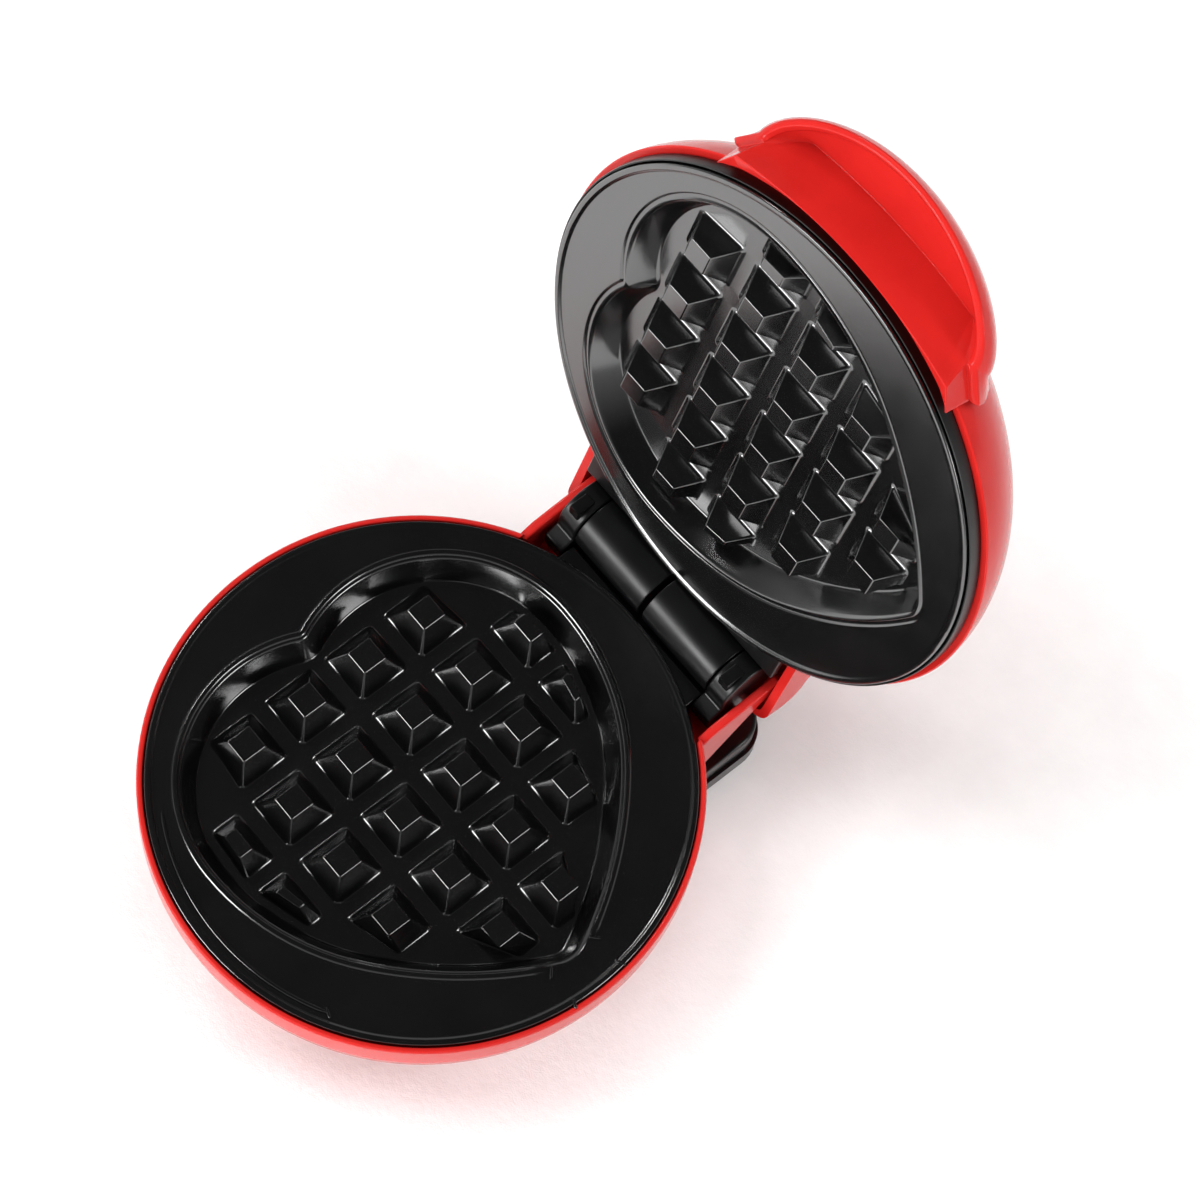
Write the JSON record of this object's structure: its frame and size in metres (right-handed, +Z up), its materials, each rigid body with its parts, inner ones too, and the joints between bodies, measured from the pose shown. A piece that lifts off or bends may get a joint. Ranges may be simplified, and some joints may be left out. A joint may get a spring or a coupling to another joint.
{
  "type": "waffle maker",
  "caption": "Small round waffle maker with a red shell, heart-shaped non-stick waffle plates, a domed lid on a rear hinge and a lift tab with a finger pocket.",
  "frame": {"origin": "on the surface it stands on, under the middle of the box round the whole part with the lid open", "axes": "+Z up, +X along the hinge towards the user's right, -Y towards the user, so the hinge is at the back (+Y) and the lid stands up behind the lower plate"},
  "size_m": [0.127, 0.1906, 0.1874],
  "materials": {
    "red_gloss": "red glossy moulded shell",
    "black_plastic": "black satin moulded plastic",
    "non_stick_coating": "black non-stick coating on cast aluminium, satin",
    "rubber": "matt black",
    "steel": "zinc-plated steel",
    "element_sheath": "heat-darkened tube",
    "aluminised_steel": "bright pressed sheet",
    "cream_plastic": "cream moulding",
    "glass_sleeving": "woven glass sleeving",
    "clear_plastic": "clear amber plastic",
    "lamp_glass": "small lamp"
  },
  "bodies": {
    "base": {"base_housing": "red_gloss", "base_frame": "black_plastic", "base_plate": "non_stick_coating", "base_element": "element_sheath", "base_reflector": "aluminised_steel", "base_cover": "black_plastic", "thermostat": "steel", "thermal_fuse": "glass_sleeving", "terminal_block": "cream_plastic", "lead_left": "glass_sleeving", "lead_right": "glass_sleeving", "cord_bushing": "black_plastic", "foot_front_left": "rubber", "foot_front_right": "rubber", "foot_rear_left": "rubber", "foot_rear_right": "rubber", "cover_screw_front": "steel", "cover_screw_left": "steel", "cover_screw_right": "steel", "base_standoff_front": "steel", "base_standoff_left": "steel", "base_standoff_right": "steel", "hinge_arm_left": "black_plastic", "hinge_arm_right": "black_plastic", "hinge_pin_left": "steel", "hinge_pin_right": "steel"},
    "lid": {"hinge_barrel_left": "black_plastic", "hinge_barrel_right": "black_plastic", "lid_housing": "red_gloss", "lid_handle": "red_gloss", "lid_frame": "black_plastic", "lid_plate": "non_stick_coating", "lid_element": "element_sheath", "lid_reflector": "aluminised_steel", "lid_standoff_front": "steel", "lid_standoff_left": "steel", "lid_standoff_right": "steel", "indicator_lens": "clear_plastic", "indicator_lamp": "lamp_glass"}
  },
  "joints": [
    {"name": "lid_hinge", "type": "hinge", "parent": "base", "child": "lid", "pos_m": [0, 0.0378, 0.0421], "axis": [1, 0, 0], "range_deg": [0, 103.8]}
  ]
}
